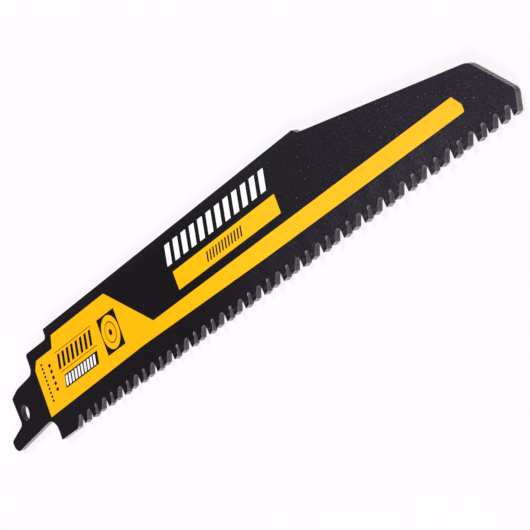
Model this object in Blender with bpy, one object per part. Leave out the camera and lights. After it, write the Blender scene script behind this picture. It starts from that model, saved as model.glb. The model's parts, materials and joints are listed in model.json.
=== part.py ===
"""A reciprocating saw blade: one steel sheet with a canted tang, and a carbide tip on each tooth.

Metres, +Z up. The blade lies flat, its printed face up, its nose to +X and its teeth to -Y.
Until the last step x runs from the first tooth's tip and y from the line through all the tips.
"""

import math

import bmesh
import bpy
from mathutils import Vector

# Sheet
SHEET_THICKNESS = 0.0015
BLADE_HEIGHT = 0.0264  # from the tooth line to the back

# Teeth
INCH = 0.0254
TEETH_PER_INCH = 6
TOOTH_COUNT = 45
STRAIGHT_AT_TANG = 1  # teeth with no set next to the heel
STRAIGHT_AT_NOSE = 3
TOOTH_SET = 0.00028  # how far a tip leans out of the sheet
BEND_HEIGHT = 0.0051  # the set starts this far above the tooth line
GULLET_DEPTH = 0.0026
GULLET_RADIUS = 0.00075
GULLET_WALL_LEAN = math.radians(31)  # the back of a tooth, from upright
RAKE_UNDERCUT = 0.0001  # the rake face falls back this far at the gullet's root
LAND_LENGTH = 0.00145
LAND_RISE = 0.0003  # clearance behind the tip
TIP_HEIGHT = 0.0014
WELD_SEAM = 0.00002

# Heel and throat
HEEL_LENGTH = 0.00885
HEEL_TO_FIRST_TIP = 0.004
HEEL_WALL_LEAN = math.radians(45)
THROAT_RADIUS = 0.0034

# Tang: u runs along it towards the nose and v across it, both from the middle of its pin hole
TANG_CANT = math.radians(5.2)
HOLE_RADIUS = 0.002
HOLE_BEHIND_FIRST_TIP = 0.02574
HOLE_ABOVE_TOOTH_LINE = 0.01152
TANG_ABOVE_HOLE = 0.00638
TANG_BELOW_HOLE = 0.00658
TANG_END_BEHIND_HOLE = 0.00358
TANG_TAPER_FROM_HOLE = 0.0004
TANG_TAPER_DROP = 0.00093
TANG_TAPER_RADIUS = 0.008
TANG_CORNER_RADIUS = 0.0005
NOTCH_BELOW_HOLE = 0.00183
NOTCH_RADIUS = 0.0013
TAIL_END_BEHIND_HOLE = 0.0112
TAIL_SLOPE = math.radians(10)
TAIL_TOP_RADIUS = 0.0009
TAIL_BOTTOM_RADIUS = 0.0022

# Steps from the tang up to the back
NECK_BEHIND_FIRST_TIP = 0.01615
NECK_RADIUS = 0.0022
SHOULDER_BELOW_BACK = 0.0025
SHOULDER_RADIUS = 0.0008
BACK_STARTS_BEHIND_FIRST_TIP = 0.0043
STEP_RADIUS = 0.0011
BACK_CORNER_RADIUS = 0.00025

# Back, peak and nose
BACK_LENGTH = 0.1235
PEAK_DROP = 0.0012
PEAK_RUN = 0.0015
PEAK_RADIUS = 0.0008
PEAK_FOOT_RADIUS = 0.0015
TAPER_SLOPE = math.radians(10.3)
NOSE_SHOULDER_RADIUS = 0.005
NOSE_SLOPE = math.radians(45.4)
NOSE_CORNER_HEIGHT = 0.00445
NOSE_CORNER_RADIUS = 0.0016
NOSE_FOOT_LEAN = math.radians(21.4)  # the nose's lower edge, from upright

# Printed colour
INK_THICKNESS = 0.00002
FIELD_BEHIND_HEEL = 0.00125
FIELD_ABOVE_TOOTH_LINE = 0.0064
FIELD_REAR_CHAMFER = 0.002
FIELD_BELOW_SHOULDER = 0.0031
FIELD_STEP_AHEAD_OF_BACK = 0.0012
FIELD_STEP_RUN = 0.0017
FIELD_BELOW_BACK = 0.0026
FIELD_TOP_LENGTH = 0.029
FIELD_SLANT_RUN = 0.0166
FIELD_SWELL_AT = 0.0365  # the lower edge is highest this far ahead of the first tip
FIELD_SWELL_END = 0.095
FIELD_SWELL = 0.0006
FIELD_CORNER_RADIUS = 0.0008
STRIPE_ABOVE_TOOTH_LINE = 0.00665
STRIPE_HEIGHT = 0.00408
STRIPE_BEHIND_NOSE = 0.01605
STRIPE_CHAMFER_RUN = 0.0022
STRIPE_CHAMFER_DROP = 0.0025
STRIPE_CORNER_RADIUS = 0.0004
BAR_AHEAD_OF_FIRST_TIP = 0.0587
BAR_LENGTH = 0.0468
BAR_ABOVE_STRIPE = 0.00212
BAR_HEIGHT = 0.0045
BAR_CORNER_RADIUS = 0.0002

# Finish
ARC_STEP = math.radians(10)
ROOT_RADIUS_SHARE = 0.98  # of the largest radius that fits a gullet's root
CUTTER_DEPTH_SHARE = 2  # of the sheet's thickness
PAINTED_UP_TO = math.radians(45)  # faces that lean less than this are painted, the others bare
WELD_DISTANCE = 1e-6

TOOTH_PITCH = INCH / TEETH_PER_INCH
LAST_TIP_X = (TOOTH_COUNT - 1) * TOOTH_PITCH
HEEL_REAR_X = -HEEL_TO_FIRST_TIP - HEEL_LENGTH
SHOULDER_Y = BLADE_HEIGHT - SHOULDER_BELOW_BACK
BACK_REAR_X = -BACK_STARTS_BEHIND_FIRST_TIP
PEAK_X = BACK_REAR_X + BACK_LENGTH
STRIPE_TOP_Y = STRIPE_ABOVE_TOOTH_LINE + STRIPE_HEIGHT


def clear_scene():
    for old in list(bpy.data.objects):
        bpy.data.objects.remove(old, do_unlink=True)


def make_material(name, colour, roughness, metallic=0.0):
    material = bpy.data.materials.new(name)
    material.use_nodes = True
    shader = material.node_tree.nodes["Principled BSDF"]
    shader.inputs["Base Color"].default_value = (*colour, 1.0)
    shader.inputs["Roughness"].default_value = roughness
    shader.inputs["Metallic"].default_value = metallic
    material.diffuse_color = (*colour, 1.0)
    return material


def crossing(point, angle, other, other_angle):
    """Where the line through point at angle meets the line through other at other_angle."""
    ax, ay = math.cos(angle), math.sin(angle)
    bx, by = math.cos(other_angle), math.sin(other_angle)
    gap_x, gap_y = other[0] - point[0], other[1] - point[1]
    along = (gap_x * by - gap_y * bx) / (ax * by - ay * bx)
    return point[0] + along * ax, point[1] + along * ay


def arc_at(before, corner, after):
    """The points of one corner: itself, or an arc of its radius that touches both sides."""
    here, radius = Vector(corner[:2]), corner[2]
    if radius == 0:
        return [here]
    to_before = (Vector(before[:2]) - here).normalized()
    to_after = (Vector(after[:2]) - here).normalized()
    half = to_before.angle(to_after) / 2
    start = here + to_before * (radius / math.tan(half))
    centre = here + (to_before + to_after).normalized() * (radius / math.sin(half))
    turn = math.pi - 2 * half
    if to_before.x * to_after.y - to_before.y * to_after.x > 0:
        turn = -turn
    steps = max(2, math.ceil(abs(turn) / ARC_STEP))
    spoke = start - centre
    arc = []
    for step in range(steps + 1):
        angle = turn * step / steps
        cos, sin = math.cos(angle), math.sin(angle)
        arc.append(centre + Vector((spoke.x * cos - spoke.y * sin, spoke.x * sin + spoke.y * cos)))
    return arc


def rounded(corners):
    """A closed outline from corners given as (x, y, radius)."""
    points = []
    for i, corner in enumerate(corners):
        after = corners[(i + 1) % len(corners)]
        points += arc_at(corners[i - 1], corner, after)
    return points


def rake_x(tooth, height):
    """The rake face of a tooth, at a height above the tooth line."""
    return tooth * TOOTH_PITCH - RAKE_UNDERCUT * height / GULLET_DEPTH


def wall_x(tooth, height, lean):
    """The back of a tooth behind its land, at a height above the tooth line."""
    return tooth * TOOTH_PITCH + LAND_LENGTH + (height - LAND_RISE) * math.tan(lean)


def back_lean(tooth):
    """The last tooth has the nose's lower edge for a back."""
    return NOSE_FOOT_LEAN if tooth == TOOTH_COUNT - 1 else GULLET_WALL_LEAN


def gullet_root(floor_start, tooth, wall_lean):
    """The two rounded corners of a gullet's root, which ends at the rake face of a tooth."""
    floor_end = rake_x(tooth, GULLET_DEPTH)
    turn = math.pi / 2 - wall_lean
    fits = (floor_end - floor_start) / (1 + math.tan(turn / 2))
    radius = min(GULLET_RADIUS, ROOT_RADIUS_SHARE * fits)
    return [(floor_start, GULLET_DEPTH, radius), (floor_end, GULLET_DEPTH, radius)]


def toothed_edge():
    """The heel, then a seat for a tip on each tooth and a gullet between each two."""
    heel_end = -HEEL_TO_FIRST_TIP
    corners = [(HEEL_REAR_X, 0, 0), (heel_end, 0, 0)]
    first_floor = heel_end + GULLET_DEPTH * math.tan(HEEL_WALL_LEAN)
    corners += gullet_root(first_floor, 0, HEEL_WALL_LEAN)
    seat = TIP_HEIGHT + WELD_SEAM / 2
    for tooth in range(TOOTH_COUNT):
        corners.append((rake_x(tooth, seat), seat, 0))
        corners.append((wall_x(tooth, seat, back_lean(tooth)), seat, 0))
        if tooth < TOOTH_COUNT - 1:
            floor_start = wall_x(tooth, GULLET_DEPTH, GULLET_WALL_LEAN)
            corners += gullet_root(floor_start, tooth + 1, GULLET_WALL_LEAN)
    return corners


def nose_and_back():
    """Up the nose from the last tooth, then along the taper, the peak and the straight back."""
    last = TOOTH_COUNT - 1
    corner = (wall_x(last, NOSE_CORNER_HEIGHT, NOSE_FOOT_LEAN), NOSE_CORNER_HEIGHT)
    foot = (PEAK_X + PEAK_RUN, BLADE_HEIGHT - PEAK_DROP)
    shoulder = crossing(corner, math.pi - NOSE_SLOPE, foot, -TAPER_SLOPE)
    return [
        (*corner, NOSE_CORNER_RADIUS),
        (*shoulder, NOSE_SHOULDER_RADIUS),
        (*foot, PEAK_FOOT_RADIUS),
        (PEAK_X, BLADE_HEIGHT, PEAK_RADIUS),
        (BACK_REAR_X, BLADE_HEIGHT, BACK_CORNER_RADIUS),
    ]


def on_tang(u, v):
    """A point given along and across the tang, from the middle of its hole."""
    cos, sin = math.cos(TANG_CANT), math.sin(TANG_CANT)
    return u * cos - v * sin - HOLE_BEHIND_FIRST_TIP, u * sin + v * cos + HOLE_ABOVE_TOOTH_LINE


def steps_and_tang():
    """Down the steps behind the back, round the tang and its tail, and back to the throat."""
    neck_x = -NECK_BEHIND_FIRST_TIP
    along = TANG_CANT
    upright = math.pi / 2
    neck = crossing((neck_x, 0), upright, on_tang(0, TANG_ABOVE_HOLE), along)
    throat = crossing((HEEL_REAR_X, 0), upright, on_tang(0, -TANG_BELOW_HOLE), along)
    end, tail = -TANG_END_BEHIND_HOLE, -TAIL_END_BEHIND_HOLE
    tail_top = -NOTCH_BELOW_HOLE + (tail - end) * math.tan(TAIL_SLOPE)
    return [
        (BACK_REAR_X, SHOULDER_Y, STEP_RADIUS),
        (neck_x, SHOULDER_Y, SHOULDER_RADIUS),
        (*neck, NECK_RADIUS),
        (*on_tang(TANG_TAPER_FROM_HOLE, TANG_ABOVE_HOLE), TANG_TAPER_RADIUS),
        (*on_tang(end, TANG_ABOVE_HOLE - TANG_TAPER_DROP), TANG_CORNER_RADIUS),
        (*on_tang(end, -NOTCH_BELOW_HOLE), NOTCH_RADIUS),
        (*on_tang(tail, tail_top), TAIL_TOP_RADIUS),
        (*on_tang(tail, -TANG_BELOW_HOLE), TAIL_BOTTOM_RADIUS),
        (*throat, THROAT_RADIUS),
    ]


def tip_outline(lean):
    """A carbide tip, seen from its side, with its point at the origin."""
    top = TIP_HEIGHT - WELD_SEAM / 2
    return [
        Vector((0, 0)),
        Vector((LAND_LENGTH, LAND_RISE)),
        Vector((wall_x(0, top, lean), top)),
        Vector((rake_x(0, top), top)),
    ]


def print_field():
    """The stepped field behind the first teeth and the stripe that leads from it to the nose."""
    rear = HEEL_REAR_X - FIELD_BEHIND_HEEL
    low_top = SHOULDER_Y - FIELD_BELOW_SHOULDER
    high_top = BLADE_HEIGHT - FIELD_BELOW_BACK
    step = BACK_REAR_X + FIELD_STEP_AHEAD_OF_BACK
    high_start = step + FIELD_STEP_RUN
    high_end = high_start + FIELD_TOP_LENGTH
    nose_x = LAST_TIP_X + LAND_LENGTH + NOSE_CORNER_HEIGHT * math.tan(NOSE_FOOT_LEAN)
    stripe_end = nose_x - STRIPE_BEHIND_NOSE
    stripe_y = STRIPE_ABOVE_TOOTH_LINE
    return rounded([
        (rear, FIELD_ABOVE_TOOTH_LINE, 0),
        (FIELD_SWELL_AT, stripe_y + FIELD_SWELL, 0),
        (FIELD_SWELL_END, stripe_y, 0),
        (stripe_end, stripe_y, STRIPE_CORNER_RADIUS),
        (stripe_end, STRIPE_TOP_Y - STRIPE_CHAMFER_DROP, STRIPE_CORNER_RADIUS),
        (stripe_end - STRIPE_CHAMFER_RUN, STRIPE_TOP_Y, STRIPE_CORNER_RADIUS),
        (high_end + FIELD_SLANT_RUN, STRIPE_TOP_Y, STRIPE_CORNER_RADIUS),
        (high_end, high_top, FIELD_CORNER_RADIUS),
        (high_start, high_top, STRIPE_CORNER_RADIUS),
        (step, low_top, 0),
        (rear + FIELD_REAR_CHAMFER, low_top, 0),
        (rear, low_top - FIELD_REAR_CHAMFER, 0),
    ])


def print_bar():
    start, end = BAR_AHEAD_OF_FIRST_TIP, BAR_AHEAD_OF_FIRST_TIP + BAR_LENGTH
    low = STRIPE_TOP_Y + BAR_ABOVE_STRIPE
    high = low + BAR_HEIGHT
    corners = ((start, low), (end, low), (end, high), (start, high))
    return rounded([(x, y, BAR_CORNER_RADIUS) for x, y in corners])


def sheet_mesh(name, outline, thickness):
    """A closed mesh of flat sheet in the shape of an outline, its middle at z = 0."""
    curve = bpy.data.curves.new(name, "CURVE")
    curve.dimensions = "2D"
    curve.fill_mode = "BOTH"
    curve.extrude = thickness / 2
    spline = curve.splines.new("POLY")
    spline.points.add(len(outline) - 1)
    for point, place in zip(spline.points, outline):
        point.co = (place.x, place.y, 0, 1)
    spline.use_cyclic_u = True
    drawn = bpy.data.objects.new(name, curve)
    bpy.context.scene.collection.objects.link(drawn)
    graph = bpy.context.evaluated_depsgraph_get()
    mesh = bpy.data.meshes.new_from_object(drawn.evaluated_get(graph))
    mesh.name = name
    bpy.data.objects.remove(drawn, do_unlink=True)
    bpy.data.curves.remove(curve)
    solid = bmesh.new()
    solid.from_mesh(mesh)
    bmesh.ops.remove_doubles(solid, verts=solid.verts, dist=WELD_DISTANCE)
    for side in (-1, 1):
        flat = [face for face in solid.faces if all(corner.co.z * side > 0 for corner in face.verts)]
        bmesh.ops.dissolve_faces(solid, faces=flat)
    bmesh.ops.recalc_face_normals(solid, faces=solid.faces)
    solid.to_mesh(mesh)
    solid.free()
    return mesh


def lean_of(tooth):
    """The side a tooth is set to: 1 for the printed face, -1 for the back face, 0 for neither."""
    if tooth < STRAIGHT_AT_TANG or tooth >= TOOTH_COUNT - STRAIGHT_AT_NOSE:
        return 0
    return 1 if tooth % 2 == 0 else -1


def gullet_span(tooth):
    """Where the metal above the gullet before a tooth starts and ends its twist, and its middle."""
    start = wall_x(tooth - 1, GULLET_DEPTH - GULLET_RADIUS, GULLET_WALL_LEAN)
    end = tooth * TOOTH_PITCH - GULLET_RADIUS / 5
    return start, (start + GULLET_RADIUS / 4 + end) / 2, end


def side_at(x):
    """The side that the metal leans to: a tooth's own side, turning to the next one's over a gullet."""
    tooth = math.floor(x / TOOTH_PITCH) + 1
    start, _, end = gullet_span(tooth)
    share = min(1, max(0, (x - start) / (end - start)))
    return lean_of(tooth - 1) * (1 - share) + lean_of(tooth) * share


def bent(height, side):
    """How far the metal moves across the sheet at a height above the tooth line."""
    return side * TOOTH_SET * max(0, 1 - height / BEND_HEIGHT)


def cut_across(solid, point, normal):
    """Divides every face that a plane crosses, and leaves the shape as it is."""
    everything = solid.verts[:] + solid.edges[:] + solid.faces[:]
    bmesh.ops.bisect_plane(solid, geom=everything, dist=WELD_DISTANCE, plane_co=point, plane_no=normal)


def set_teeth(mesh):
    """Bends each tooth to its side. The roots of the gullets twist, because their two sides part."""
    solid = bmesh.new()
    solid.from_mesh(mesh)
    cut_across(solid, (0, BEND_HEIGHT, 0), (0, 1, 0))
    for tooth in range(TOOTH_COUNT):
        for x in gullet_span(tooth):
            cut_across(solid, (x, 0, 0), (1, 0, 0))
    for vertex in solid.verts:
        vertex.co.z += bent(vertex.co.y, side_at(vertex.co.x))
    solid.to_mesh(mesh)
    solid.free()


def place(name, mesh, materials, frame, collection, location=(0, 0, 0)):
    piece = bpy.data.objects.new(name, mesh)
    piece.location = location
    piece.parent = frame
    if not mesh.materials:
        for material in materials:
            mesh.materials.append(material)
    collection.objects.link(piece)
    return piece


def add_hole_cutter(frame, collection):
    """A cylinder through the tang, square to the sheet."""
    mesh = bpy.data.meshes.new("pin_hole_cutter")
    solid = bmesh.new()
    sides = round(2 * math.pi / ARC_STEP)
    depth = CUTTER_DEPTH_SHARE * SHEET_THICKNESS
    bmesh.ops.create_cone(
        solid, cap_ends=True, segments=sides, radius1=HOLE_RADIUS, radius2=HOLE_RADIUS, depth=depth
    )
    solid.to_mesh(mesh)
    solid.free()
    cutter = place("pin_hole_cutter", mesh, [], frame, collection, (*on_tang(0, 0), 0))
    cutter.hide_render = True
    cutter.display_type = "WIRE"
    return cutter


def add_body(outline, cutter, frame, collection):
    """The sheet itself. Its faces are painted, and its cut edges are bare steel."""
    mesh = sheet_mesh("blade_body", outline, SHEET_THICKNESS)
    set_teeth(mesh)
    paint = make_material("black_paint", (0.026, 0.023, 0.027), 0.42)
    edge = make_material("cut_steel_edge", (0.17, 0.165, 0.17), 0.45, metallic=0.6)
    body = place("blade_body", mesh, [paint, edge], frame, collection)
    for face in mesh.polygons:
        face.material_index = 0 if abs(face.normal.z) > math.cos(PAINTED_UP_TO) else 1
    hole = body.modifiers.new("pin_hole", "BOOLEAN")
    hole.operation = "DIFFERENCE"
    hole.solver = "EXACT"
    hole.object = cutter


def add_tips(frame, collection):
    """One carbide tip for each tooth, leaning with the tooth that carries it."""
    carbide = make_material("ground_carbide", (0.3, 0.295, 0.305), 0.4, metallic=0.7)
    meshes = {}
    for tooth in range(TOOTH_COUNT):
        kind = (lean_of(tooth), back_lean(tooth))
        if kind not in meshes:
            mesh = sheet_mesh("carbide_tip", tip_outline(kind[1]), SHEET_THICKNESS)
            for vertex in mesh.vertices:
                vertex.co.z += bent(vertex.co.y, kind[0])
            meshes[kind] = mesh
        name = f"carbide_tip_{tooth + 1:02d}"
        place(name, meshes[kind], [carbide], frame, collection, (tooth * TOOTH_PITCH, 0, 0))


def add_print(frame, collection):
    """The two fields of colour on the upper face, each a thin coat of ink."""
    ink = make_material("yellow_ink", (1.0, 0.54, 0.008), 0.4)
    height = (SHEET_THICKNESS + INK_THICKNESS) / 2
    for name, outline in (("print_field", print_field()), ("print_bar", print_bar())):
        mesh = sheet_mesh(name, outline, INK_THICKNESS)
        place(name, mesh, [ink], frame, collection, (0, 0, height))


def main():
    clear_scene()
    collection = bpy.data.collections.new("reciprocating_saw_blade")
    cutters = bpy.data.collections.new("cutters")
    for made in (collection, cutters):
        bpy.context.scene.collection.children.link(made)
    outline = rounded(toothed_edge() + nose_and_back() + steps_and_tang())
    ends = [point.x for point in outline]
    frame = bpy.data.objects.new("blade_frame", None)
    collection.objects.link(frame)
    lowest = SHEET_THICKNESS / 2 + TOOTH_SET
    frame.location = (-(min(ends) + max(ends)) / 2, -BLADE_HEIGHT / 2, lowest)
    add_body(outline, add_hole_cutter(frame, cutters), frame, collection)
    add_tips(frame, collection)
    add_print(frame, collection)


main()
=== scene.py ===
# %% [markdown]
# # The look of a reciprocating saw blade
#
# The blade is one sheet of steel with a carbide tip on every tooth. It was blanked out, its teeth
# were bent to alternate sides, and then it was painted black and printed with yellow ink. The
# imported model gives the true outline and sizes. This lesson puts a finished surface around it: edges
# that are a little round, cut walls of bare steel, ground tips, and coats of paint and ink.

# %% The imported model
import json
import math

import bmesh
import bpy
import numpy as np
from mathutils import Matrix, Vector
from mathutils.geometry import delaunay_2d_cdt


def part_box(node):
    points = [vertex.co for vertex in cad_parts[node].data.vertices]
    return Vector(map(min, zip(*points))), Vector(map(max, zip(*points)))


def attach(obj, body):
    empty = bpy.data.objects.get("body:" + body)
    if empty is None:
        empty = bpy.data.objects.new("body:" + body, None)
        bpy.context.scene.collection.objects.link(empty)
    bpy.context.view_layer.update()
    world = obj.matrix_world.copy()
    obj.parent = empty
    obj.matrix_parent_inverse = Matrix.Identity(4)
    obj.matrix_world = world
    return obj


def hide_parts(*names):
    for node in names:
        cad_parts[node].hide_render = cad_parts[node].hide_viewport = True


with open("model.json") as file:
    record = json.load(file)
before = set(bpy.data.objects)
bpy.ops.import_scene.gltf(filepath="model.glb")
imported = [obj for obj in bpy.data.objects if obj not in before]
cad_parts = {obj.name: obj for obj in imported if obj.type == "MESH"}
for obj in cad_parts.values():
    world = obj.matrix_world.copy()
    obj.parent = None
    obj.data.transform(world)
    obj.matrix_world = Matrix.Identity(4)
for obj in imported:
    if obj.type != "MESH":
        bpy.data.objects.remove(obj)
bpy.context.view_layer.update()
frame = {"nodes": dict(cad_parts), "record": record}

# %% [markdown]
# ## Where the measures start
#
# Everything on a saw blade is measured from its teeth, so places below are given in millimetres
# from the point of the first tooth: x along the tooth line to the nose, y up to the back, and z out
# of the printed face. The two clamp faces of the record say how thick the sheet is.

# %% Measures from the first tooth
MM = 0.001
INCH = 25.4 * MM
TEETH_PER_INCH = 6
TOOTH_PITCH = INCH / TEETH_PER_INCH

faces = {mount["name"]: mount["pos_m"][2] for mount in frame["record"]["mounts"]}
front_z = faces["clamp_face_front"]
thickness = front_z - faces["clamp_face_back"]


def corners_of(node):
    """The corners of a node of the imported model, one row each."""
    mesh = frame["nodes"][node].data
    corners = np.empty(3 * len(mesh.vertices), np.float32)
    mesh.vertices.foreach_get("co", corners)
    return corners.reshape(-1, 3).astype(float)


first_tip = min(corners_of("carbide_tip_01"), key=lambda corner: corner[1])


def at(x, y, z=0.0):
    """A place in metres, from millimetres ahead of, above and in front of the first tooth."""
    return Vector((first_tip[0] + x * MM, first_tip[1] + y * MM, front_z + z * MM))


print("the sheet is", round(thickness / MM, 2), "mm thick and its first tooth is at", first_tip[:2])

# %% [markdown]
# ## The camera
#
# A photograph of a flat blade fixes its camera. The tips of the teeth lie one pitch apart on a
# straight line, and how fast they close up towards the tang gives the distance and the lens. The
# blade lies flat here, so the camera leans over and is rolled until the blade runs uphill.

# %% The camera
CAMERA_PLACE = at(574.64, -117.9, 345.55)
CAMERA_AIM = at(93.33, 5.48)
PICTURE_UP = math.radians(55.02)  # the way on the blade that is up in the picture, from +x
FOCAL_LENGTH = 189.52
SENSOR_WIDTH = 36.0


def add_camera():
    """The camera, which looks along -z of its own frame, with x to its right and y up."""
    data = bpy.data.cameras.new("camera")
    data.lens = FOCAL_LENGTH
    data.sensor_width = SENSOR_WIDTH
    back = (CAMERA_PLACE - CAMERA_AIM).normalized()
    right = Vector((math.cos(PICTURE_UP), math.sin(PICTURE_UP), 0)).cross(back).normalized()
    up = back.cross(right)
    camera = bpy.data.objects.new("camera", data)
    frame_of_camera = Matrix((right, up, back)).transposed().to_4x4()
    camera.matrix_world = Matrix.Translation(CAMERA_PLACE) @ frame_of_camera
    bpy.context.scene.collection.objects.link(camera)
    bpy.context.scene.camera = camera


add_camera()
bpy.context.scene.view_settings.view_transform = "Standard"
print("the camera is", round((CAMERA_PLACE - CAMERA_AIM).length, 3), "m from what it looks at")

# %% [markdown]
# ## Reading the outline
#
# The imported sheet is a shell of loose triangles. Its front face is made of the triangles that look
# upwards, and the outline is made of the edges that only one of these has. Each such edge leads from
# one corner to the next, so following them gives closed loops: the blade's outline, and its pin
# hole. Following one step at a time would be a long loop, so the steps are doubled instead.

# %% Reading the outline
WELD = 1e-7
LOOKS_UP = 0.9


def joined_triangles(node):
    """The corners and triangles of a node, with the corners that lie on each other made one."""
    joined = bmesh.new()
    joined.from_mesh(frame["nodes"][node].data)
    bmesh.ops.remove_doubles(joined, verts=joined.verts, dist=WELD)
    corners = np.array([corner.co[:] for corner in joined.verts])
    triangles = np.array([[corner.index for corner in face.verts] for face in joined.faces])
    joined.free()
    return corners, triangles


def in_order(following, start):
    """The loop start, following[start], and so on, as one array.

    Where chain holds the first n stops and leap says where n steps lead, the next n stops are
    leap[chain], and leap[leap] says where 2n steps lead.
    """
    chain, leap = np.array([start]), following
    while True:
        more = leap[chain]
        closed = np.flatnonzero(more == start)
        if len(closed):
            return np.concatenate([chain, more[: closed[0]]])
        chain, leap = np.concatenate([chain, more]), leap[leap]


def outlines_of(node):
    """The loops round a node's front face, the longest first, each with the metal on its left."""
    corners, triangles = joined_triangles(node)
    a, b, c = (corners[triangles[:, i]] for i in range(3))
    normal = np.cross(b - a, c - a)
    upward = normal[:, 2] > LOOKS_UP * np.linalg.norm(normal, axis=1)
    front = triangles[upward]
    edges = np.concatenate([front[:, [0, 1]], front[:, [1, 2]], front[:, [2, 0]]])
    count = len(corners)
    shared = np.isin(edges[:, 0] * count + edges[:, 1], edges[:, 1] * count + edges[:, 0])
    outer = edges[~shared]
    following = np.arange(count)
    following[outer[:, 0]] = outer[:, 1]
    left, loops = np.unique(outer), []
    while len(left):
        loop = in_order(following, left[0])
        left = np.setdiff1d(left, loop)
        loops.append(corners[loop])
    return sorted(loops, key=len, reverse=True)


sheet_loops = outlines_of("blade_body")
print("loops round the sheet's front face:", [len(loop) for loop in sheet_loops])

# %% [markdown]
# ## Making the curves round again
#
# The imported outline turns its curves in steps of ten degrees. Between two corners the real edge
# follows a curve that leaves each corner along the tangent there. A cubic with the right ends and
# the right tangents is close to the true arc, and it stays straight on a straight side. Where the
# outline turns by more than a step, it is a real corner and stays sharp.

# %% Making the curves round again
SHARP_TURN = math.radians(16)
STRAIGHT_TURN = math.radians(0.2)
MUCH_LONGER = 1.6  # a side this many times its neighbour is a straight one and keeps its own way
CUTS = 3  # pieces that each curved side is divided into


def unit(vectors):
    """Each vector divided by its length."""
    return vectors / np.linalg.norm(vectors, axis=-1, keepdims=True)


def cross_2d(a, b):
    """ax by - ay bx of each pair, which for unit vectors is the sine of the turn from a to b."""
    return a[:, 0] * b[:, 1] - a[:, 1] * b[:, 0]


def curved(loop):
    """The loop with its curves made round.

    On the side from P to Q, of length L and with the end tangents S and T, the curve is
    (1+2t)(1-t)^2 P + t(1-t)^2 L S + t^2(3-2t) Q - t^2(1-t) L T, and its height changes evenly. The
    tangent at a corner is the mean of its two sides' ways, where the shorter side counts for more.
    """
    here, ahead = loop, np.roll(loop, -1, 0)
    side = (ahead - here)[:, :2]
    length = np.linalg.norm(side, axis=1, keepdims=True)
    out, into = side / length, np.roll(side / length, 1, 0)
    before = np.roll(length, 1, 0)
    turn = np.arctan2(cross_2d(into, out), np.sum(into * out, axis=1))[:, None]
    tangent = unit(into * length + out * before)
    tangent = np.where(length > MUCH_LONGER * before, out, tangent)
    tangent = np.where(before > MUCH_LONGER * length, into, tangent)
    is_sharp = abs(turn) > SHARP_TURN
    leaving = np.where(is_sharp, out, tangent)
    arriving = np.roll(np.where(is_sharp, into, tangent), -1, 0)
    t = (np.arange(CUTS) / CUTS)[None, :, None]
    p, q = here[:, None, :2], ahead[:, None, :2]
    curve = (1 + 2 * t) * (1 - t) ** 2 * p + t**2 * (3 - 2 * t) * q
    pull = t * (1 - t) ** 2 * leaving[:, None] - t**2 * (1 - t) * arriving[:, None]
    curve += length[:, None] * pull
    height = (1 - t) * here[:, None, 2:] + t * ahead[:, None, 2:]
    points = np.concatenate([curve, height], axis=2)
    bent = np.maximum(abs(cross_2d(out, leaving)), abs(cross_2d(out, arriving))) > STRAIGHT_TURN
    kept = bent[:, None] | (np.arange(CUTS) == 0)[None]
    return points[kept]


sheet_loops = [curved(loop) for loop in sheet_loops]
print("after smoothing:", [len(loop) for loop in sheet_loops])

# %% [markdown]
# ## The edge of a sheet
#
# A blanked edge is never a plain right angle. The punch draws the front rim in a little, cuts the
# first part of the wall clean, and tears the rest, which ends a few hundredths further in. So the
# edge has a section: how far it lies inside the outline at each depth. This section is carried
# round the outline, which gives the wall as one grid of quads.

# %% The edge of a sheet
RIM_STEPS = 4
WALL_STEPS = 5
NEARLY_STRAIGHT = 1e-3  # 1 - c^2 below which two sides count as one straight side


def edge_section(front_rim, back_rim, tear, depth=thickness, hold=0.02 * MM):
    """Rows of (inset, depth) from the front face to the back face.

    The rims are quarter circles: r(1 - sin a) and r(1 - cos a) for a from 0 to 90 degrees. Between
    them the wall goes in by tear times w^2(3 - 2w), where w runs from 0 to 1. The first and last
    rows lie on the faces, hold further in than the rims, and keep the rims' shading off the faces.
    """
    turn = np.linspace(0, math.pi / 2, RIM_STEPS + 1)
    front = np.stack([front_rim * (1 - np.sin(turn)), front_rim * (1 - np.cos(turn))], 1)
    w = np.linspace(0, 1, WALL_STEPS + 1)[1:-1]
    wall = np.stack([tear * w**2 * (3 - 2 * w), front_rim + w * (depth - front_rim - back_rim)], 1)
    back = np.stack([tear + back_rim * (1 - np.cos(turn)), depth - back_rim * (1 - np.sin(turn))], 1)
    ends = np.array([[front_rim + hold, 0.0], [tear + back_rim + hold, depth]])
    return np.concatenate([ends[:1], front, wall, back, ends[1:]])


def inset_ways(loop, weight):
    """How far each corner moves for a metre of inset.

    The sides before and after a corner have the inward normals m and n and move by the weights v
    and w. The corner moves to where the moved sides cross: ((v - wc) m + (w - vc) n) / (1 - c^2),
    where c is m times n. Where the sides are nearly one, it is (v m + w n) / (1 + c).
    """
    side = (np.roll(loop, -1, 0) - loop)[:, :2]
    n = unit(np.stack([-side[:, 1], side[:, 0]], 1))
    m, v, w = np.roll(n, 1, 0), np.roll(weight, 1)[:, None], weight[:, None]
    c = np.sum(m * n, axis=1, keepdims=True)
    nearly_straight = 1 - c**2 < NEARLY_STRAIGHT
    crossing = ((v - w * c) * m + (w - v * c) * n) / np.where(nearly_straight, 1, 1 - c**2)
    return np.where(nearly_straight, (v * m + w * n) / (1 + c), crossing)


def wall_grid(loop, weight, section):
    """The wall's points, one row for each row of the section and one column for each corner."""
    ways = inset_ways(loop, weight)
    inset, depth = section[:, 0, None], section[:, 1, None]
    flat = loop[None, :, :2] + inset[..., None] * ways[None]
    height = loop[None, :, 2] - depth
    return np.concatenate([flat, height[..., None]], axis=2)


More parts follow.
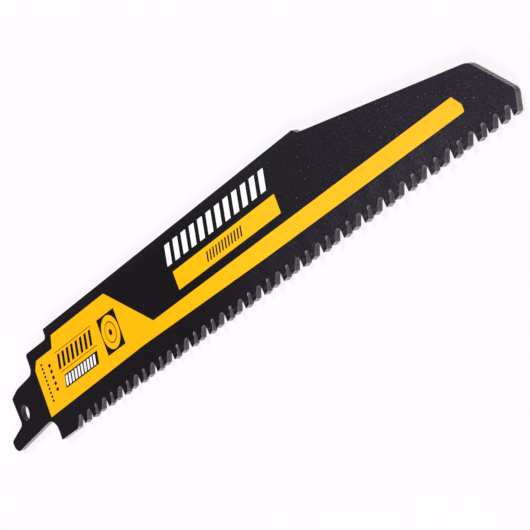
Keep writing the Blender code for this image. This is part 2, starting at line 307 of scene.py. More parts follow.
def quads_of(rows, columns):
    """The quads of a grid that closes round its columns, looking away from the metal."""
    row, column = np.meshgrid(np.arange(rows - 1), np.arange(columns), indexing="ij")
    beside = (column + 1) % columns
    here, below = row * columns, (row + 1) * columns
    return np.stack([here + column, below + column, below + beside, here + beside], -1).reshape(-1, 4)


# %% [markdown]
# ## The faces between the edges
#
# Each face is one flat shape with thousands of corners, so it is filled with triangles that keep
# the outline's edges. The fill also takes loose points inside the outline, which give it corners
# to bend at wherever the sheet isn't flat.

# %% The faces between the edges
FILL_INSIDE = 1
FILL_TOLERANCE = 1e-9


def filled(loops, inner):
    """Triangles, as rows of corner numbers, between the first loop and the others inside it.

    The inner points are numbered after the loops' own. The tool fills the holes too, and says which
    rings each triangle lies in: the metal lies in ring 0 alone.
    """
    starts = np.cumsum([0] + [len(loop) for loop in loops])
    rings = [list(range(a, b)) for a, b in zip(starts[:-1], starts[1:])]
    rings[1:] = [ring[::-1] for ring in rings[1:]]
    flat = [Vector(point) for points in [*loops, inner] for point in points[:, :2].tolist()]
    made = delaunay_2d_cdt(flat, [], rings, FILL_INSIDE, FILL_TOLERANCE, True)
    _, _, triangles, sources, _, rings_round = made
    origin = np.array([source[0] for source in sources])
    metal = [triangle for triangle, around in zip(triangles, rings_round) if list(around) == [0]]
    return origin[np.array(metal)]


# %% [markdown]
# ## One recipe for every plate
#
# The sheet, a tip and a patch of ink are all plates: an outline, a section for its edge, and two
# faces. The recipe makes the wall of each loop, fills the two faces between the walls' first and
# last rows, and keeps on each corner how far round and how deep in the wall it lies, because the
# marks that a cutting tool leaves follow those two ways.

# %% One recipe for every plate
SMOOTH_UP_TO = math.radians(35)


def weights_of(loop, joint_height=None):
    """1 for each side of a loop, and 0 for a side that lies on a joint with another piece."""
    weight = np.ones(len(loop))
    if joint_height is not None:
        on_joint = abs(loop[:, 1] - joint_height) < WELD
        weight[on_joint & np.roll(on_joint, -1)] = 0
    return weight


def wall_of(loop, joint_height, section, count):
    """The wall of one loop, with its corners numbered from count on.

    It gives the corners, how far round and how deep in the wall each one lies, the quads, which of
    them lie between the rims, and the numbers of the first and the last row of corners.
    """
    grid = wall_grid(loop, weights_of(loop, joint_height), section)
    rows, columns = grid.shape[:2]
    steps = np.linalg.norm((np.roll(loop, -1, 0) - loop)[:, :2], axis=1)
    place = np.zeros((rows, columns, 3))
    place[..., 0] = np.concatenate([[0], np.cumsum(steps)[:-1]])
    place[..., 1] = section[:, 1, None]
    row = np.arange(rows - 1)
    between_rims = np.repeat((row > RIM_STEPS) & (row < rows - 2 - RIM_STEPS), columns)
    numbers = count + np.arange(rows * columns).reshape(rows, columns)
    quads = count + quads_of(rows, columns)
    return grid.reshape(-1, 3), place.reshape(-1, 3), quads, between_rims, numbers[0], numbers[-1]


def piece_of(name, corners, edge_place, faces, on_wall, materials):
    """A piece with smooth faces, of which those on the wall have the last material."""
    mesh = bpy.data.meshes.new(name)
    mesh.from_pydata(corners.tolist(), [], faces)
    mesh.polygons.foreach_set("use_smooth", np.ones(len(on_wall), bool))
    mesh.polygons.foreach_set("material_index", on_wall.astype(np.int32) * (len(materials) - 1))
    mesh.set_sharp_from_angle(angle=SMOOTH_UP_TO)
    edge = mesh.attributes.new("edge", "FLOAT_VECTOR", "POINT")
    edge.data.foreach_set("vector", edge_place.ravel().astype(np.float32))
    for material in materials:
        mesh.materials.append(material)
    mesh.update()
    piece = bpy.data.objects.new(name, mesh)
    bpy.context.scene.collection.objects.link(piece)
    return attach(piece, "root")


def plate(name, loops, section, materials, joint_height=None, inner=np.empty((0, 3))):
    """A closed plate. The first of its materials covers the faces and rims, the second the wall.

    The inner points are places on its front face, and the same places are used on its back.
    """
    walls, count = [], 0
    for loop in loops:
        walls.append(wall_of(loop, joint_height, section, count))
        count += len(walls[-1][0])
    corners, edge_place, quads, between_rims, tops, bottoms = zip(*walls)
    depth = section[-1, 1]
    corners = np.concatenate([*corners, inner, inner - (0, 0, depth)])
    inner_place = np.repeat([[0.0, 0.0, 0.0], [0.0, depth, 0.0]], len(inner), axis=0)
    top = np.concatenate([*tops, count + np.arange(len(inner))])
    bottom = np.concatenate([*bottoms, count + len(inner) + np.arange(len(inner))])
    front = top[filled([corners[ring] for ring in tops], inner)]
    back = bottom[filled([corners[ring] for ring in bottoms], inner)][:, ::-1]
    faces = np.concatenate(quads).tolist() + front.tolist() + back.tolist()
    on_wall = np.concatenate([*between_rims, np.zeros(len(front) + len(back), bool)])
    edge_place = np.concatenate([*edge_place, inner_place])
    return piece_of(name, corners, edge_place, faces, on_wall, materials)


# %% [markdown]
# ## Shader maths in plain Python
#
# A finish is a formula over the surface. The class below holds one socket of a material's nodes
# and lets Python's operators add the Math nodes, so that a formula reads as a formula.

# %% Shader maths in plain Python
COLOUR_A, COLOUR_B, COLOUR_OUT = 6, 7, 2  # the sockets of a Mix node that hold colours


class Wire:
    """One value in a material. Sums and products with it are Math nodes."""

    def __init__(self, graph, socket):
        self.graph, self.socket = graph, socket

    def other(self, output):
        """Another output of the node that this value comes from."""
        return Wire(self.graph, self.socket.node.outputs[output])

    def __add__(self, value):
        return self.graph.math("ADD", self, value)

    def __sub__(self, value):
        return self.graph.math("SUBTRACT", self, value)

    def __rsub__(self, value):
        return self.graph.math("SUBTRACT", value, self)

    def __mul__(self, value):
        return self.graph.math("MULTIPLY", self, value)

    def __truediv__(self, value):
        return self.graph.math("DIVIDE", self, value)

    def __gt__(self, value):
        return self.graph.math("GREATER_THAN", self, value)

    def __lt__(self, value):
        return self.graph.math("LESS_THAN", self, value)

    def __abs__(self):
        return self.graph.math("ABSOLUTE", self)

    __radd__ = __add__
    __rmul__ = __mul__


class Graph:
    """The nodes of one material or of the world."""

    def __init__(self, tree):
        self.tree = tree

    def node(self, kind, settings=None, values=None, output=0):
        """Adds a node, sets it up, gives its sockets values or links, and returns one output."""
        made = self.tree.nodes.new(kind)
        for name, setting in (settings or {}).items():
            setattr(made, name, setting)
        for name, value in (values or {}).items():
            self.connect(made.inputs[name], value)
        return Wire(self, made.outputs[output])

    def connect(self, socket, value):
        """Links a wire to a socket, or gives the socket a value of its own."""
        if isinstance(value, Wire):
            self.tree.links.new(value.socket, socket)
        else:
            socket.default_value = value

    def math(self, operation, *values):
        """A Math node on the values."""
        return self.node("ShaderNodeMath", {"operation": operation}, dict(enumerate(values)))

    def object_place(self):
        """The place on the object, in metres."""
        return self.node("ShaderNodeTexCoord", output="Object")

    def edge_place(self):
        """How far round its loop (X) and how deep in the wall (Y) a place lies, in metres."""
        return self.node("ShaderNodeAttribute", {"attribute_name": "edge"}, output="Vector")

    def split(self, vector, axis):
        """One of a vector's three numbers."""
        return self.node("ShaderNodeSeparateXYZ", values={0: vector}, output=axis)

    def stretched(self, vector, x, y, z):
        """A vector with each of its three numbers divided by a length in metres."""
        scales = (1 / x, 1 / y, 1 / z)
        return self.node("ShaderNodeVectorMath", {"operation": "MULTIPLY"}, {0: vector, 1: scales})

    def turned(self, vector, angle):
        """A vector turned about the z axis, so that a pattern's first axis lies at the angle."""
        return self.node("ShaderNodeMapping", values={"Vector": vector, "Rotation": (0, 0, -angle)})

    def noise(self, vector, size=1.0, detail=2.0, roughness=0.5):
        """Smooth noise of about the given size, from 0 to 1 with 0.5 as its mean."""
        values = {"Vector": vector, "Scale": 1 / size, "Detail": detail, "Roughness": roughness}
        return self.node("ShaderNodeTexNoise", values=values)

    def spots(self, vector, size, radius, sparsity):
        """Round spots, one in each cell of a flat pattern, from 0 to 1.

        Each is full up to a fifth of its radius. A high sparsity leaves most of them weak.
        """
        values = {"Vector": vector, "Scale": 1 / size}
        cell = self.node("ShaderNodeTexVoronoi", {"voronoi_dimensions": "2D"}, values)
        strength = self.math("POWER", self.split(cell.other("Color"), "X"), sparsity)
        return self.fade(cell, 0.2 * radius / size, radius / size, 1.0, 0.0) * strength

    def fade(self, value, low, high, start=0.0, end=1.0):
        """Goes smoothly from start to end as the value goes from low to high."""
        values = {0: value, 1: low, 2: high, 3: start, 4: end}
        return self.node("ShaderNodeMapRange", {"interpolation_type": "SMOOTHSTEP"}, values)

    def mix(self, share, colour, other):
        """A colour that is all the first one at a share of 0 and all the other at 1."""
        values = {0: share, COLOUR_A: colour, COLOUR_B: other}
        return self.node("ShaderNodeMix", {"data_type": "RGBA"}, values, COLOUR_OUT)

    def bump(self, height, distance, strength=1.0):
        """The normal of a surface that stands up by the distance where the height is 1."""
        values = {"Height": height, "Distance": distance, "Strength": strength}
        return self.node("ShaderNodeBump", values=values, output="Normal")


def new_material(name, **fixed):
    """A material, its graph and its Principled shader, with the values that are the same all over."""
    material = bpy.data.materials.new(name)
    material.use_nodes = True
    shader = material.node_tree.nodes["Principled BSDF"]
    for socket, value in fixed.items():
        shader.inputs[socket.replace("_", " ")].default_value = value
    return material, Graph(material.node_tree), shader


def grey(value, green=1.0, blue=1.0):
    """A grey, with its green and blue as shares of its red."""
    return (value, green * value, blue * value, 1.0)


# %% [markdown]
# ## Black paint
#
# The paint is a thin matt coat with fine dust on it, and it is lighter towards the nose, partly from
# more dust and partly from a painted sheen. Both are a share of a pale colour mixed into the black.
# First comes a weak even film of violet grey with a fine grain. On it lie countless fine grey spots
# and a few larger specks, each of which is the point of one cell of a cell pattern.
#
# Along the teeth the sheet was handled and ground, so there the dust is a little thicker, with
# smudges in short strokes above every second gullet and on the seams of the tips. Above the gullets
# the smudges are partly painted sheen. On the rims of the other gullets the paint is worn thin over
# the steel, and the bare rims carry a painted glint.

# %% Black paint
PAINT_BLACK = (0.0089, 0.0074, 0.0087, 1.0)
# The film's pale colour stands for dust and, towards the nose, for painted sheen.
FILM_OF_DUST_AND_SHEEN = (0.64, 0.58, 0.92, 1.0)
GREY_DUST = (0.64, 0.60, 0.70, 1.0)
# Near white: bare steel on the worn rims, lit as a painted glint.
BARE_AND_GLINT = grey(0.9)
PAINT_GRAIN = 0.25 * MM
PAINT_SHINE = 0.004  # low, because the coat is matt


def along(x, start, end, low=0.0, high=1.0):
    """Goes from low to high over a stretch of the blade, in millimetres ahead of the first tooth."""
    return x.graph.fade(x, at(start, 0).x, at(end, 0).x, low, high)


def up(y, start, end, low=0.0, high=1.0):
    """Goes from low to high over a stretch of heights, in millimetres above the tooth line."""
    return y.graph.fade(y, at(0, start).y, at(0, end).y, low, high)


def near_teeth(graph, place):
    """1 along the teeth and 0 from the stripe up."""
    return up(graph.split(place, "Y"), 5.6, 8.2, 1.0, 0.0)


# %% [markdown]
# ## The film of dust and painted sheen
#
# The film is thin, so its shares are small. They are highest at the nose, and a little higher at
# the tang, along the teeth and under the back than around them. The rise from the middle to the nose
# is partly a painted sheen, light that the coat would reflect there. A finer noise makes the grain
# and a wide one makes clouds.

# %% The film of dust and painted sheen
FILM_AT_TANG = 0.0025
FILM_BEFORE_MIDDLE = 0.0003
# Painted sheen: the film's rise from the middle to the nose is partly light reflected by the coat.
DUST_AND_SHEEN_FROM_MIDDLE = 0.0095
DUST_AND_SHEEN_TOWARDS_NOSE = 0.0150
FILM_ALONG_TEETH = 0.0022
FILM_UNDER_BACK = 0.005
FILM_GRAIN = 0.3 * MM
FILM_CLOUD = 9 * MM


def dust_and_sheen_film(graph, place):
    """The share of the surface that the even film of dust, with its painted sheen towards the nose,
    covers, from 0 to 1.
    """
    x, y = graph.split(place, "X"), graph.split(place, "Y")
    film = along(x, -15, 35, FILM_AT_TANG, FILM_BEFORE_MIDDLE)
    film = film + along(x, 58, 112) * DUST_AND_SHEEN_FROM_MIDDLE
    film = film + along(x, 100, 195) * DUST_AND_SHEEN_TOWARDS_NOSE
    film = film + near_teeth(graph, place) * FILM_ALONG_TEETH
    film = film + up(y, 22.5, 26.4) * FILM_UNDER_BACK
    grain = graph.fade(graph.noise(place, FILM_GRAIN, 2.0, 0.6), 0.3, 0.7, 0.5, 1.5)
    return film * (0.8 + graph.noise(place, FILM_CLOUD, 2.0) * 0.4) * grain


# %% [markdown]
# ## Spots, smudges with painted sheen, and worn rims with painted glints
#
# The spots are the points of a cell pattern, and the smudges are noise that is stretched along the
# strokes. The smudges and the worn rims come back at every second gullet, as the teeth's leans do.
# There the smudges are partly painted sheen, where the twist turns the face towards the light, and
# the worn rims carry a painted glint.

# %% Spots, smudges with painted sheen, and worn rims with painted glints
FINE_CELL, FINE_RADIUS = 0.45 * MM, 0.17 * MM
SPECK_CELL, SPECK_RADIUS = 2.6 * MM, 0.22 * MM
STROKE_LENGTH, STROKE_WIDTH = 0.9 * MM, 0.36 * MM
STROKE_WAY = math.radians(60)  # from the tooth line
# Painted sheen: a full smudge above every second gullet is partly light on the twisted face.
SMUDGE_AND_SHEEN = 0.055  # the share that a full smudge covers
SEAM_HEIGHT = 1.25  # millimetres above the tooth line
DUST_AND_SHEEN_GULLET = 3.2  # millimetres ahead of the first tooth, and every second gullet from there
WORN_AND_GLINT_GULLET = DUST_AND_SHEEN_GULLET - 0.35 + TOOTH_PITCH / MM
RIM_TOP = 0.004 * MM  # what is deeper is rim or wall, and not the flat front face


def from_every_second(graph, place, start):
    """How far a place lies along x from the nearest of a row of places two pitches apart."""
    turn = graph.math("FRACT", (graph.split(place, "X") - at(start, 0).x) / (2 * TOOTH_PITCH) + 0.5)
    return abs(turn - 0.5) * (2 * TOOTH_PITCH)


def dust_spots_and_sheen(graph, place):
    """The share of the surface that spots and smudges of dust cover, with the painted sheen above every
    second gullet, from 0 to 1.
    """
    x, y = graph.split(place, "X"), graph.split(place, "Y")
    fine = graph.spots(place, FINE_CELL, FINE_RADIUS, 2.0) * (0.012 + along(x, 70, 180) * 0.08)
    specks = graph.spots(place, SPECK_CELL, SPECK_RADIUS, 5.0) * along(x, 75, 110, 0.06, 0.25)
    strokes = graph.stretched(graph.turned(place, STROKE_WAY), STROKE_LENGTH, STROKE_WIDTH, 1)
    strokes = graph.fade(graph.noise(strokes, detail=4.0), 0.38, 0.78)
    seam = graph.fade(abs(y - at(0, SEAM_HEIGHT).y), 0.1 * MM, 0.4 * MM, 1.0, 0.0)
    seam = seam * along(x, 10, 80)
    # Painted sheen: the smudges every second gullet stand partly for light on faces the twist tilts.
    above = graph.fade(from_every_second(graph, place, DUST_AND_SHEEN_GULLET), 1.0 * MM, 3.6 * MM, 1.0, 0.3)
    handled = near_teeth(graph, place) * along(x, 50, 150) * along(x, 158, 178, 1.0, 0.0)
    return fine + specks + (handled * above + seam * 1.6) * strokes * SMUDGE_AND_SHEEN


def worn_rim_and_glint(graph, place):
    """How bare the rims are, with a painted glint on them: most at the roots of every second gullet, and
    0 further in.
    """
    x, y = graph.split(place, "X"), graph.split(place, "Y")
    depth = graph.split(graph.edge_place(), "Y")
    on_rim = (depth > RIM_TOP) * graph.fade(depth, 0.04 * MM, 0.13 * MM, 1.0, 0.0)
    beside = graph.fade(from_every_second(graph, place, WORN_AND_GLINT_GULLET), 0.25 * MM, 0.7 * MM, 1.0, 0.0)
    return on_rim * up(y, 1.7, 2.4) * beside * near_teeth(graph, place) * along(x, 0, 60, 0.35, 0.65)


def black_paint():
    """The paint with its dust and painted sheen, its worn rims with a painted glint, and the fine texture
    of a sprayed coat.
    """
    material, graph, shader = new_material("black_paint", Specular_IOR_Level=PAINT_SHINE)
    place = graph.object_place()
    grain = graph.noise(place, PAINT_GRAIN, 3.0)
    # Painted sheen: the film and the smudges lighten the black with light as well as dust.
    dusty = graph.mix(dust_and_sheen_film(graph, place), PAINT_BLACK, FILM_OF_DUST_AND_SHEEN)
    dusty = graph.mix(dust_spots_and_sheen(graph, place), dusty, GREY_DUST)
    # Painted glint: the worn rims at every second gullet root are coloured as bright as a highlight.
    graph.connect(shader.inputs["Base Color"], graph.mix(worn_rim_and_glint(graph, place), dusty, BARE_AND_GLINT))
    graph.connect(shader.inputs["Roughness"], 0.4 + grain * 0.16)
    graph.connect(shader.inputs["Normal"], graph.bump(grain, 0.012 * MM, 0.6))
    return material


paint = black_paint()
print("the paint has", len(paint.node_tree.nodes), "nodes")

# %% [markdown]
# ## Bare steel on the cut edges
#
# The wall of the sheet shows how it was cut: a bright clean band under each face with a darker torn
# band between them, crossed by fine marks that run from face to face. Both follow the wall, so they
# read the two ways round and into it that the plate recipe kept, and not the place in space.
#
# The walls of the back and the nose also carry even marks, a little under a millimetre apart, where
# the tool chattered.
#
# The paint reached into the gullets and the pin hole, so the steel is dark there; in the pin hole it
# is darker still, as painted shade of the hole. The lands of the teeth were ground afterwards and are
# the brightest, and the long outer walls are bare steel.

# %% Bare steel on the cut edges
STEEL = grey(0.47, 0.95, 1.02)
GROUND = grey(0.64, 0.96, 1.0)
COATED = grey(0.19, 0.93, 1.07)
# Painted shade: darker than the gullets' coat, for the shade inside the pin hole.
COATED_AND_SHADED_HOLE = grey(0.1, 0.93, 1.07)
CUT_MARKS = 0.3 * MM  # how wide the fine marks are
TORN_MIDDLE = 0.62  # of the way through the sheet
TORN_LOSS = 0.3  # of the brightness
CHATTER = 0.88 * MM  # from one mark to the next
CHATTER_FROM = 5.0  # millimetres above the tooth line
LAND_TOP = 0.25  # the lands end this far above the tooth line, in millimetres
GULLETS_TOP = 3.0  # the gullets lie below this, in millimetres above the tooth line
FIRST_GULLET, LAST_GULLET = -3.9, 187.2  # and between these, in millimetres ahead of the first tooth
HOLE_REACH = 3 * MM  # from the middle of the pin hole to just past its wall


def wall_marks(graph, place, across):
    """Brightness of a cut wall: about 1, more under the front rim, less where torn, with fine marks.

    Ahead of the tang and above the teeth it is times 1 + 1.5 m sin(2 pi x / CHATTER + 12 n), where
    x is the way round the wall, m the fine marks, and n a noise that makes the chatter waver.
    """
    edge = graph.edge_place()
    depth = graph.split(edge, "Y") / thickness
    wander = graph.noise(graph.stretched(edge, 1.2 * MM, 1, 1)) * 0.16
    torn = graph.fade(abs(depth + wander - TORN_MIDDLE), 0.06, 0.24, TORN_LOSS, 0.0)
    clean = graph.fade(depth, 0.12, 0.3, 1.25, 1.0)
    marks = graph.noise(graph.stretched(edge, across, 1.2 * MM, 1), detail=3.0)
    wobble = graph.noise(graph.stretched(edge, 3 * MM, 3 * MM, 1))
    chatter = graph.math("SINE", graph.split(edge, "X") * (2 * math.pi / CHATTER) + wobble * 12)
    x, y = graph.split(place, "X"), graph.split(place, "Y")
    sheared = (x > at(0, 0).x) * (y > at(0, CHATTER_FROM).y)
    return (1 - torn) * clean * (0.45 + marks * 1.1) * (1 + sheared * chatter * marks * 1.5)


def in_gullets(graph, place):
    """1 on the walls of the gullets, and 0 on the lands and the other walls."""
    x, y = graph.split(place, "X"), graph.split(place, "Y")
    in_teeth = up(y, LAND_TOP, LAND_TOP + 0.2) * (y < at(0, GULLETS_TOP).y)
    return in_teeth * (x > at(FIRST_GULLET, 0).x) * (x < at(LAST_GULLET, 0).x)


def in_hole(graph, place):
    """1 on the wall of the pin hole, and 0 elsewhere."""
    middle = (hole.max(0) + hole.min(0)) / 2
    away = graph.node("ShaderNodeVectorMath", {"operation": "DISTANCE"}, {0: place, 1: middle}, "Value")
    return away < HOLE_REACH


def wall_finish(name, colour, ground, across):
    """Steel for a cut wall, brighter on the ground lands, with the paint's coat where it reached, painted
    shade in the pin hole and a painted glint on the worn rims.
    """
    material, graph, shader = new_material(name, Metallic=0.05, Specular_IOR_Level=0.2)
    place = graph.object_place()
    bright = wall_marks(graph, place, across)
    is_land = graph.split(place, "Y") < at(0, LAND_TOP + 0.1).y
    seen = graph.mix(in_gullets(graph, place), graph.mix(is_land, colour, ground), COATED)
    # Painted shade: the pin hole's wall is coloured darker than the coat alone.
    seen = graph.mix(in_hole(graph, place), seen, COATED_AND_SHADED_HOLE)
    # Painted glint: the worn rims of the wall are coloured as bright as a highlight.
    seen = graph.mix(worn_rim_and_glint(graph, place), seen, BARE_AND_GLINT)
    graph.connect(shader.inputs["Base Color"], graph.mix(bright, grey(0.0), seen))
    graph.connect(shader.inputs["Roughness"], 0.6 - bright * 0.15)
    graph.connect(shader.inputs["Normal"], graph.bump(bright, 0.01 * MM, 0.5))
    return material


hole = sheet_loops[1]
steel = wall_finish("cut_steel", STEEL, GROUND, CUT_MARKS)
print("the cut steel has", len(steel.node_tree.nodes), "nodes")

# %% [markdown]
# ## The sheet
#
# The sheet's wall stops flat against the seat of each tip, so the sides that lie on the seats
# aren't moved by the section.
#
# The teeth are set: a tool bends each one out of the sheet, in turn to either side, from a line a
# little above the gullets. The metal over a gullet belongs to two teeth that part, so it twists from
# one side to the other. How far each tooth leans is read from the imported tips, and between the
# teeth the lean changes evenly. A mesh of loose points over the gullets carries that twist.

# %% The sheet
FRONT_RIM = 0.06 * MM
BACK_RIM = 0.06 * MM
TEAR = 0.03 * MM

BEND_HEIGHT = 5.1 * MM  # above the tooth line
TWIST_STARTS = 2.382 * MM  # after a tooth's point
TWIST_ENDS = 0.15 * MM  # before the next tooth's point
TWIST_STEPS = 4
BEND_ROWS_START = 2.9 * MM  # just above the gullets
BEND_ROWS = 5
ROW_PAST_BEND = 5.8 * MM

tip_nodes = sorted(node for node in frame["nodes"] if node.startswith("carbide_tip"))


def lean_of(node):
    """How far a tooth leans out of the sheet at its point."""
    corners = corners_of(node)
    return corners[corners[:, 1] < corners[:, 1].min() + WELD, 2].max() - front_z


leans = np.array([lean_of(node) for node in tip_nodes])
upright = first_tip[0] + np.arange(len(leans))[:, None] * TOOTH_PITCH + [[-TWIST_ENDS, TWIST_STARTS]]


def lift(x, y):
    """How far the sheet leans out at a place.

    It is the lean there, which is one tooth's own or lies between two teeth's, times 1 - h / B,
    where h is the height above the tooth line and B the height of the bend.
    """
    share = np.maximum(1 - (y - first_tip[1]) / BEND_HEIGHT, 0)
    return np.interp(x, upright.ravel(), np.repeat(leans, 2)) * share


def points_over_gullets():
    """Points on the front face, in columns through the teeth and twists and in rows past the bend."""
    start, end = upright[:-1, 1:], upright[1:, :1]
    twists = start + (end - start) * np.linspace(0, 1, TWIST_STEPS + 1)
    columns = np.concatenate([twists.ravel(), upright.mean(1)])
    rows = np.append(np.linspace(BEND_ROWS_START, BEND_HEIGHT, BEND_ROWS), ROW_PAST_BEND) + first_tip[1]
    x, y = (grid.ravel() for grid in np.meshgrid(columns, rows))
    return np.c_[x, y, front_z + lift(x, y)]


outline = sheet_loops[0]
missed = abs(outline[:, 2] - front_z - lift(outline[:, 0], outline[:, 1])).max()
print("the bend follows the packed outline to within", round(missed / MM, 4), "mm")
seat_height = outline[np.argmin(abs(outline[:, 1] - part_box("carbide_tip_01")[1].y)), 1]

sheet = plate(
    "painted_sheet",
    sheet_loops,
    edge_section(FRONT_RIM, BACK_RIM, TEAR),
    [paint, steel],
    joint_height=seat_height,
    inner=points_over_gullets(),
)
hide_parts("blade_body")
print("the sheet has", len(sheet.data.polygons), "faces")

# %% [markdown]
# ## The tips
#
# Each tip is a small block of carbide, welded on and then ground. Grinding leaves its corners a
# little round and marks that run from the root to the point.

# %% The tips
TIP_RIM = 0.04 * MM
POINT_RADIUS = 0.09 * MM
LAND_RADIUS = 0.16 * MM
CORNER_STEPS = 5
TIP_HOLD = 0.01 * MM
CARBIDE = grey(0.44, 0.96, 1.0)
GRINDING_MARKS = 0.4 * MM  # how wide they are


def rounded(loop, radii):
    """The loop with each corner made an arc of its radius.

    The arc's centre lies r / sin h from the corner along the bisector b, where h is half the
    corner's angle. Its points are the centre + r (e sin a - b cos a), for a from -(90 - h) to
    90 - h degrees, where e is the way along the chord.
    """
    to_before = unit((np.roll(loop, 1, 0) - loop)[:, :2])
    to_after = unit((np.roll(loop, -1, 0) - loop)[:, :2])
    half = np.arccos(np.clip(np.sum(to_before * to_after, axis=1), -1, 1))[:, None] / 2
    bisector, chord = unit(to_before + to_after), unit(to_after - to_before)
    radius = np.asarray(radii)[:, None]
    centre = loop[:, :2] + bisector * radius / np.sin(half)
    angle = (np.linspace(-1, 1, CORNER_STEPS) * (math.pi / 2 - half))[..., None]
    ray = chord[:, None] * np.sin(angle) - bisector[:, None] * np.cos(angle)
    points = (centre[:, None] + radius[..., None] * ray).reshape(-1, 2)
    return points[np.linalg.norm(points - np.roll(points, 1, 0), axis=1) > WELD]


def on_leaning_face(flat, loop):
    """Heights for flat points, on the plane that the corners of a loop lie on."""
    plane = np.linalg.lstsq(np.c_[loop[:, :2], np.ones(len(loop))], loop[:, 2], rcond=None)[0]
    return np.c_[flat, np.c_[flat, np.ones(len(flat))] @ plane]


carbide = wall_finish("ground_carbide", CARBIDE, CARBIDE, GRINDING_MARKS)


def add_tip(node):
    """The tip that stands for one carbide_tip node, with its point and land made round."""
    loop = outlines_of(node)[0]
    loop = np.roll(loop, -int(np.argmin(loop[:, 1])), 0)
    joint = loop[:, 1].max()
    radii = np.where(joint - loop[:, 1] < WELD, 0, LAND_RADIUS)
    radii[0] = POINT_RADIUS
    shape = on_leaning_face(rounded(loop, radii), loop)
    shape[abs(shape[:, 1] - joint) < WELD, 1] = joint
    section = edge_section(TIP_RIM, TIP_RIM, 0.0, hold=TIP_HOLD)
    tip = plate(node.replace("carbide", "welded"), [shape], section, [paint, carbide], joint_height=joint)
    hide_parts(node)


for node in tip_nodes:
    add_tip(node)
print("made", len(tip_nodes), "tips")

# %% [markdown]
# ## Yellow ink
#
# The ink is a thin even coat on the painted face, so it has the paint's fine texture. The same film
# of dust and painted sheen lies on it, but it is smoother than the paint and hardly holds the spots,
# and it is a little deeper near the tang. The imported model's two fields of ink have the right shape
# and only need their finish.

# %% Yellow ink
INK_YELLOW = (1.0, 0.495, 0.004, 1.0)
PALER_YELLOW = (1.0, 0.55, 0.007, 1.0)
SPOTS_ON_INK = 0.1  # the share of the paint's spots that the ink holds


def ink(name, colour, paler):
    """Printed ink that goes from one colour near the tang to another from the middle on."""
    material, graph, shader = new_material(name, Specular_IOR_Level=PAINT_SHINE)
    place = graph.object_place()
    grain = graph.noise(place, PAINT_GRAIN, 3.0)
    clean = graph.mix(along(graph.split(place, "X"), 30, 110), colour, paler)
    # The film lays the painted sheen towards the nose on the ink as well as dust.
    dust = dust_and_sheen_film(graph, place) + dust_spots_and_sheen(graph, place) * SPOTS_ON_INK
    dusty = graph.mix(dust, clean, FILM_OF_DUST_AND_SHEEN)
    graph.connect(shader.inputs["Base Color"], dusty)
    graph.connect(shader.inputs["Roughness"], 0.36 + grain * 0.14)
    graph.connect(shader.inputs["Normal"], graph.bump(grain, 0.01 * MM, 0.5))
    return material


yellow = ink("yellow_ink", INK_YELLOW, PALER_YELLOW)
for node in ("print_field", "print_bar"):
    frame["nodes"][node].material_slots[0].material = yellow
print("the ink has", len(yellow.node_tree.nodes), "nodes")

# %% [markdown]
# ## Small marks in the print
#
# A printed blade carries small marks in black, white and yellow. These here are plain shapes, bars
# that lean like the speed lines on a tool, in the sizes and places that such marks have. Each
# is a plate of ink with a slightly rounded outline, and the marks of each group are joined into one
# piece.

# %% Small marks in the print
INK = 0.02 * MM
INK_FRONT_RIM, INK_BACK_RIM = 0.004 * MM, 0.002 * MM
MARK_CORNER = 0.06 * MM
LEAN = 0.36  # how far a bar leans forward for its height
INK_WHITE = grey(0.97, 0.97, 1.0)


def bar(x, y, width, height, lean=LEAN):
    """The four corners of a leaning bar, in millimetres, from its lower rear corner."""
    shift = lean * height
    return [(x, y), (x + width, y), (x + width + shift, y + height), (x + shift, y + height)]


def row_of_bars(x, y, height, widths, gap):
    """Bars side by side, each a gap ahead of the one before it, in millimetres."""
    starts = x + np.concatenate([[0], np.cumsum(np.array(widths[:-1]) + gap)])
    return [bar(start, y, width, height) for start, width in zip(starts, widths)]


def disc(x, y, radius, sides=40):
    """The corners of a disc round a middle, in millimetres."""
    turn = np.arange(sides) * 2 * math.pi / sides
    return list(zip(x + radius * np.cos(turn), y + radius * np.sin(turn)))


def add_marks(name, shapes, level, material):
    """Plates of ink in one colour, whose tops lie level coats above the printed face."""
    section = edge_section(INK_FRONT_RIM, INK_BACK_RIM, 0.0, depth=INK, hold=INK_FRONT_RIM)
    pieces = []
    for number, shape in enumerate(shapes):
        loop = np.array([at(x, y)[:2] for x, y in shape])
        flat = rounded(loop, np.full(len(loop), MARK_CORNER))
        solid = np.c_[flat, np.full(len(flat), front_z + level * INK)]
        pieces.append(plate(f"{name}_{number}", [solid], section, [material]))
    joined = bmesh.new()
    for piece in pieces:
        joined.from_mesh(piece.data)
        mesh = piece.data
        bpy.data.objects.remove(piece)
        bpy.data.meshes.remove(mesh)
    mesh = bpy.data.meshes.new(name)
    joined.to_mesh(mesh)
    joined.free()
    mesh.materials.append(material)
    marks = bpy.data.objects.new(name, mesh)
    bpy.context.scene.collection.objects.link(marks)
    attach(marks, "root")
    print(name, "is made of", len(shapes), "shapes")


black_ink = ink("black_ink", PAINT_BLACK, PAINT_BLACK)
white_ink = ink("white_ink", INK_WHITE, INK_WHITE)

# %% [markdown]
# ## Laying the marks out
#
# The wide rear field carries rows of bars, two thin rules, two columns of dashes and a square
# panel with a disc and a ring. Where marks lie on each other, each next colour is one coat higher.

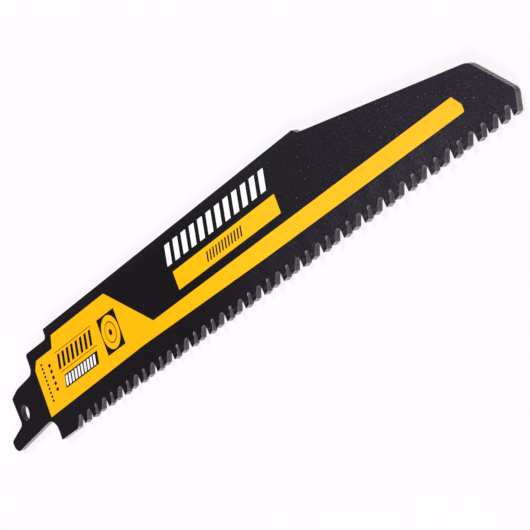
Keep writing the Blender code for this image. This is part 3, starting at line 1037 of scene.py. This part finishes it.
# %% Laying the marks out
rules = [bar(-2.7, y, 20.0, 0.14) for y in (19.3, 14.3)]
dark_bars = row_of_bars(-3.0, 15.1, 3.6, [1.25] * 8, 1.2)
plate_behind = [bar(-2.6, 10.2, 18.0, 3.1)]
dashes = [bar(-10.9, y, 0.9, 0.55, 0) for y in np.arange(9.3, 19.0, 1.05)]
dashes += [bar(-7.4, y, 1.2, 0.8, 0) for y in np.arange(11.0, 17.4, 1.55)]
panel = [bar(20.6, 10.3, 9.0, 9.1, 0)]
thin_bars = row_of_bars(73.2, 14.0, 2.3, [0.62] * 12, 0.78)
add_marks("black_marks", rules + dark_bars + plate_behind + dashes + panel + thin_bars, 2, black_ink)

light_bars = row_of_bars(-2.0, 10.55, 2.4, [1.0] * 10, 0.68)
add_marks("white_marks_on_black", light_bars, 3, white_ink)
long_row = row_of_bars(57.4, 19.1, 4.6, [2.25] * 12, 1.72)
add_marks("white_marks", long_row, 1, white_ink)

PANEL_MIDDLE = (25.1, 14.85)
add_marks("yellow_marks", [disc(*PANEL_MIDDLE, 4.1)], 3, yellow)
add_marks("black_ring", [disc(*PANEL_MIDDLE, 2.6)], 4, black_ink)
add_marks("yellow_ring", [disc(*PANEL_MIDDLE, 2.35)], 5, yellow)
add_marks("black_dot", [disc(*PANEL_MIDDLE, 0.75, 24)], 6, black_ink)

# %% [markdown]
# ## The room
#
# A plain pale floor, two wide soft lamps over the blade's long sides and a weak light from all
# round. The camera and reflections see the floor and the air as white. The floor keeps a little
# plain white paint in its mix, so the blade's soft shadow shows on it.

# %% The room
FLOOR_SIZE = 3.0
WHITE = (1.0, 0.976, 1.0, 1.0)
FILL_LIGHT = 0.12
FLOOR_GLOW = 1.035
FLOOR_PAINT = grey(0.8)  # as the camera and reflections see it
FLOOR_BOUNCE = grey(0.1)  # as the light that it scatters onto the blade sees it
GLOW_SHARE = 0.8  # the rest of what the camera sees is the paint, which takes the blade's shadow
LAMP_DISTANCE = 1.0
LAMP_AIM = at(80, 10)


def seen_directly(graph):
    """1 for rays from the camera and for reflections, and 0 for the light that surfaces scatter."""
    path = graph.node("ShaderNodeLightPath", output="Is Camera Ray")
    seen = path + path.other("Is Glossy Ray") + path.other("Is Transmission Ray")
    return graph.math("MINIMUM", seen, 1.0)


def add_world():
    """Air that is white to look at and gives a weak light from all round."""
    world = bpy.data.worlds.new("air")
    world.use_nodes = True
    bpy.context.scene.world = world
    graph = Graph(world.node_tree)
    background = world.node_tree.nodes["Background"]
    background.inputs["Color"].default_value = WHITE
    graph.connect(background.inputs["Strength"], graph.fade(seen_directly(graph), 0, 1, FILL_LIGHT, 1.0))


def add_floor():
    """A flat square under the blade, in the paint and glow above."""
    grid = bmesh.new()
    bmesh.ops.create_grid(grid, x_segments=4, y_segments=4, size=FLOOR_SIZE / 2)
    mesh = bpy.data.meshes.new("floor")
    grid.to_mesh(mesh)
    grid.free()
    material = bpy.data.materials.new("pale_floor")
    material.use_nodes = True
    graph = Graph(material.node_tree)
    seen = seen_directly(graph)
    colour = graph.mix(seen, FLOOR_BOUNCE, FLOOR_PAINT)
    lit = graph.node("ShaderNodeBsdfDiffuse", values={"Color": colour})
    glow = graph.node("ShaderNodeEmission", values={"Color": WHITE, "Strength": FLOOR_GLOW})
    mixed = graph.node("ShaderNodeMixShader", values={0: seen * GLOW_SHARE, 1: lit, 2: glow})
    graph.connect(material.node_tree.nodes["Material Output"].inputs["Surface"], mixed)
    mesh.materials.append(material)
    floor = bpy.data.objects.new("floor", mesh)
    bpy.context.scene.collection.objects.link(floor)


def add_lamp(name, elevation, towards_y, size, power):
    """A soft lamp that lights the blade from its teeth's side (-1) or its back's side (1)."""
    data = bpy.data.lights.new(name, "AREA")
    data.shape = "RECTANGLE"
    data.size, data.size_y = size
    data.energy = power
    lamp = bpy.data.objects.new(name, data)
    way = Vector((0, towards_y * math.cos(elevation), math.sin(elevation)))
    lamp.location = LAMP_AIM + LAMP_DISTANCE * way
    lamp.rotation_euler = (-way).to_track_quat("-Z", "Y").to_euler()
    bpy.context.scene.collection.objects.link(lamp)


add_world()
add_floor()
add_lamp("lamp_by_the_teeth", math.radians(32), -1, (0.5, 0.4), 8.5)
add_lamp("lamp_by_the_back", math.radians(50), 1, (0.5, 0.5), 7.4)
print("the room has", len(bpy.data.lights), "lamps")
